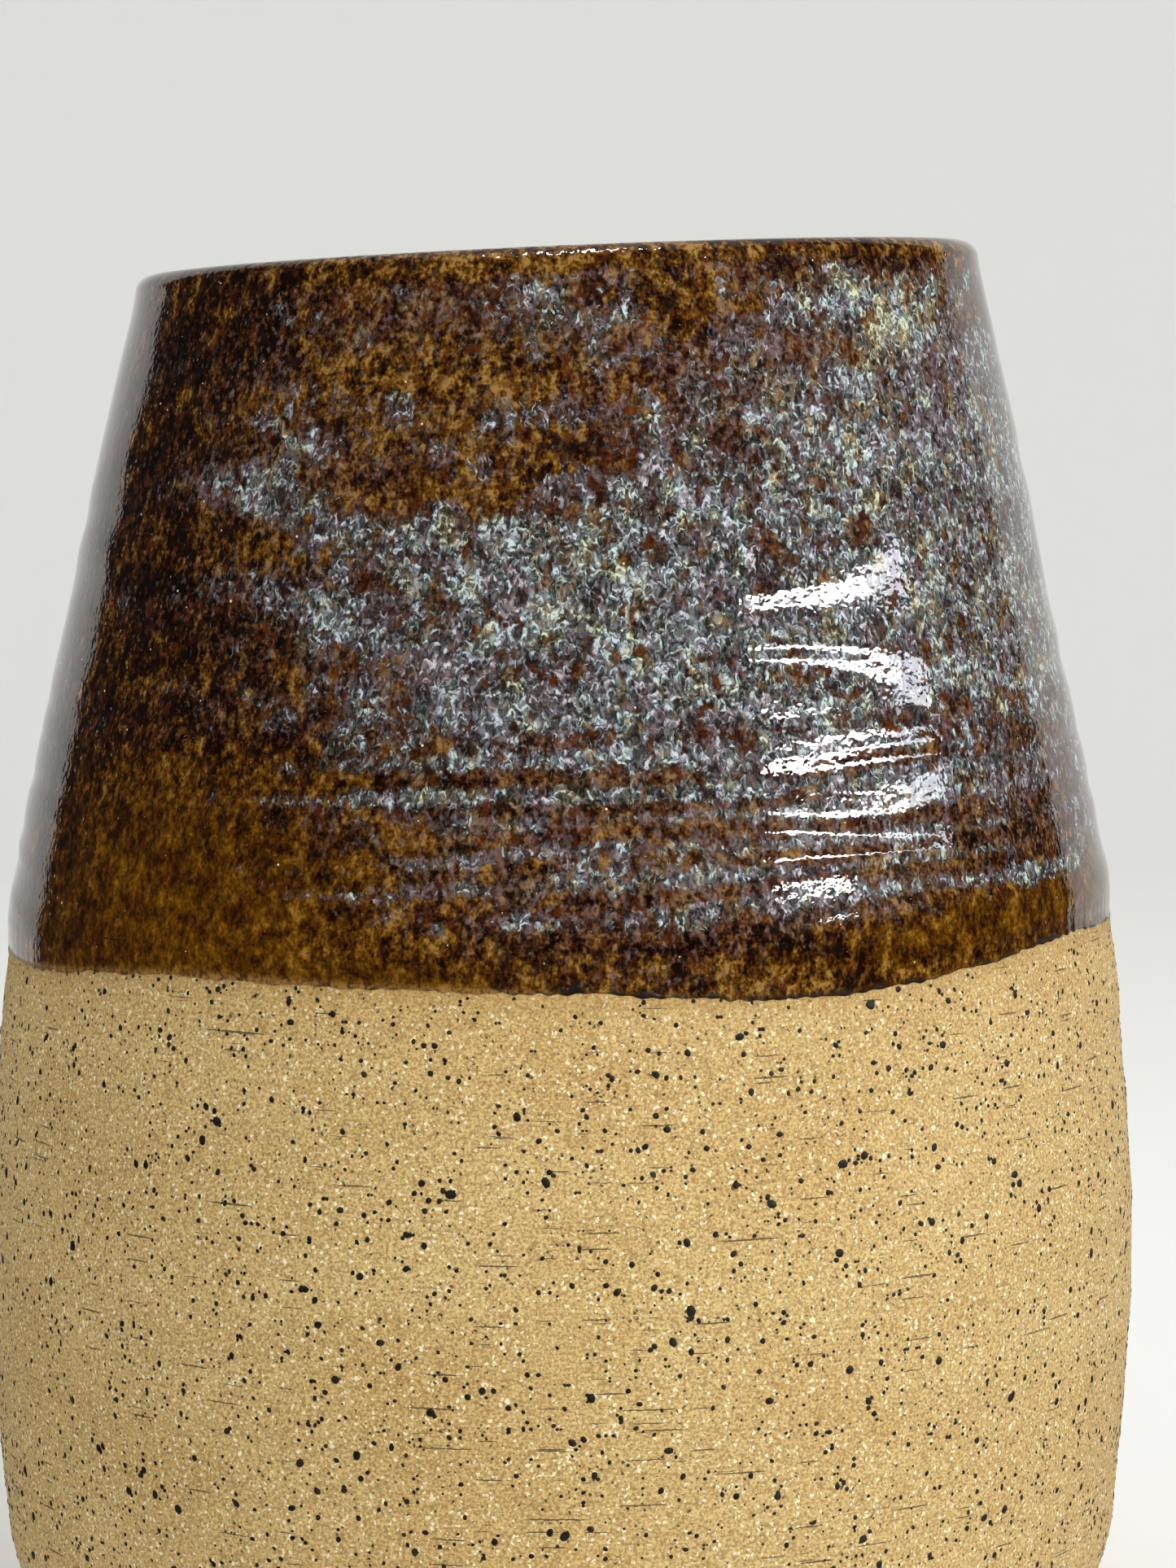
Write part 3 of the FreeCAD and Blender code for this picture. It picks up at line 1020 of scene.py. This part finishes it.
def plain_material(name, shade, glow=0.0):
    """A matt colour, which may glow."""
    s = Shader(name)
    s.finish(Base_Color=(*shade, 1.0), Roughness=0.9)
    if glow:
        s.finish(Emission_Color=(*shade, 1.0), Emission_Strength=glow)
    return s.material


def floor():
    """A pale floor that curves up far away on every side."""
    path = np.vstack([
        along((0.5, 0), (FLOOR_REACH, 0)),
        arc((FLOOR_REACH, FLOOR_REACH), FLOOR_REACH, -90, 0, 24)[1:],
        along((2 * FLOOR_REACH, 1500)),
    ])
    piece = grid_object("studio_floor", swept(path[:, :1], path[:, 1:])[:, ::12])
    piece.data.materials.append(plain_material("pale_floor", (0.88, 0.88, 0.86)))


def around(turn, rise, distance):
    """A place round the vase's middle, turn degrees to the right of the front and rise degrees up."""
    a, e = math.radians(turn), math.radians(rise)
    flat = distance * math.cos(e)
    return (flat * math.sin(a), -flat * math.cos(a), AIM_HEIGHT + distance * math.sin(e))


def aim(thing):
    """Turn a lamp or card to the vase's middle."""
    thing.rotation_euler = (Vector((0, 0, AIM_HEIGHT)) - thing.location).to_track_quat("-Z", "Y").to_euler()


def lamp(name, turn, rise, distance, size, power, tint=(1, 1, 1)):
    """A soft lamp that lights the vase and isn't itself mirrored in the glaze."""
    light = bpy.data.lights.new(name, "AREA")
    light.shape = "RECTANGLE"
    light.size, light.size_y = size
    light.energy = power
    light.color = tint
    thing = bpy.data.objects.new(name, light)
    bpy.context.scene.collection.objects.link(thing)
    thing.location = around(turn, rise, distance)
    aim(thing)
    thing.visible_glossy = False
    thing.visible_camera = False


def only_mirrored(piece):
    """Let the glaze mirror a piece of the studio that does nothing else."""
    piece.visible_camera = False
    piece.visible_diffuse = False
    piece.visible_shadow = False
    piece.visible_transmission = False


def card(name, turn, rise, distance, size, shade, glow):
    """A glowing panel that only the glaze mirrors."""
    wide, tall = size[0] / 2 / MM, size[1] / 2 / MM
    corners = [(-wide, -tall, 0), (wide, -tall, 0), (wide, tall, 0), (-wide, tall, 0)]
    piece = mesh_object(name, corners, [(0, 1, 2, 3)])
    piece.location = around(turn, rise, distance)
    aim(piece)
    piece.data.materials.append(plain_material(name, shade, glow))
    only_mirrored(piece)


def dark_room():
    """What stands round the viewer's side is dark, and only the glaze mirrors it."""
    turn = np.radians(np.linspace(-131, 127, 40) - 90)
    wall = [row_of_points(turn, ROOM_RADIUS, z) for z in (-300, 1700)]
    table = [row_of_points(turn, r, 3) for r in (85, ROOM_RADIUS - 20)]
    faces = strip_faces(len(turn)) + strip_faces(len(turn), 2 * len(turn))
    piece = mesh_object("dark_room", np.vstack(wall + table), faces)
    piece.data.materials.append(plain_material("dark_room", BLACK))
    only_mirrored(piece)


def low_screen():
    """A dark strip close to the vase that keeps the window off the lowest ridges of the glaze."""
    turn = np.radians([t for t, _ in SCREEN_TOP]) - math.pi / 2
    bottom = row_of_points(turn, SCREEN_RADIUS, 5)
    top = row_of_points(turn, SCREEN_RADIUS, [z for _, z in SCREEN_TOP])
    piece = mesh_object("low_screen", np.vstack([bottom, top]), strip_faces(len(turn)))
    piece.data.materials.append(plain_material("low_screen", BLACK))
    only_mirrored(piece)


def even_light():
    """The pale light that comes from everywhere else, and plain colours."""
    world = bpy.data.worlds.new("studio")
    world.use_nodes = True
    glow = world.node_tree.nodes["Background"].inputs
    glow["Color"].default_value = (0.83, 0.84, 0.84, 1)
    glow["Strength"].default_value = 0.60
    bpy.context.scene.world = world
    bpy.context.scene.view_settings.view_transform = "Standard"


floor()
dark_room()
low_screen()
even_light()

# each with its turn, rise, distance and size, then a lamp's power and tint or a card's shade and glow
lamp("key_right", 48, 35, 1.3, (0.9, 0.7), 11.8, (0.98, 0.975, 0.99))
lamp("fill_front", -10, 50, 1.5, (1.2, 0.8), 3.5, (1.0, 0.98, 0.93))
lamp("top", 0, 88, 1.3, (0.8, 0.8), 3.5)
card("window_right", 60, 12.9, 0.8, (0.46, 0.051), (1, 1, 1), 55.0)
card("window_side", 81.5, 12.9, 0.8, (0.15, 0.051), (0.86, 0.88, 1.0), 13.0)
card("overhead", 13, 74, 0.8, (0.20, 0.07), (1, 1, 1), 90.0)


# ---------------------------------------------------------------- camera

CAMERA_LENS = 102.7504  # millimetres, on a film whose long side is 36 millimetres
CAMERA_PLACE = (0.003035, -0.4983, 0.142)
CAMERA_DIP = 4.83  # degrees below level

camera_data = bpy.data.cameras.new("camera")
camera_data.sensor_width = 36
camera_data.lens = CAMERA_LENS
camera = bpy.data.objects.new("camera", camera_data)
camera.location = CAMERA_PLACE
camera.rotation_euler = (math.radians(90 - CAMERA_DIP), 0, 0)
bpy.context.scene.collection.objects.link(camera)
bpy.context.scene.camera = camera
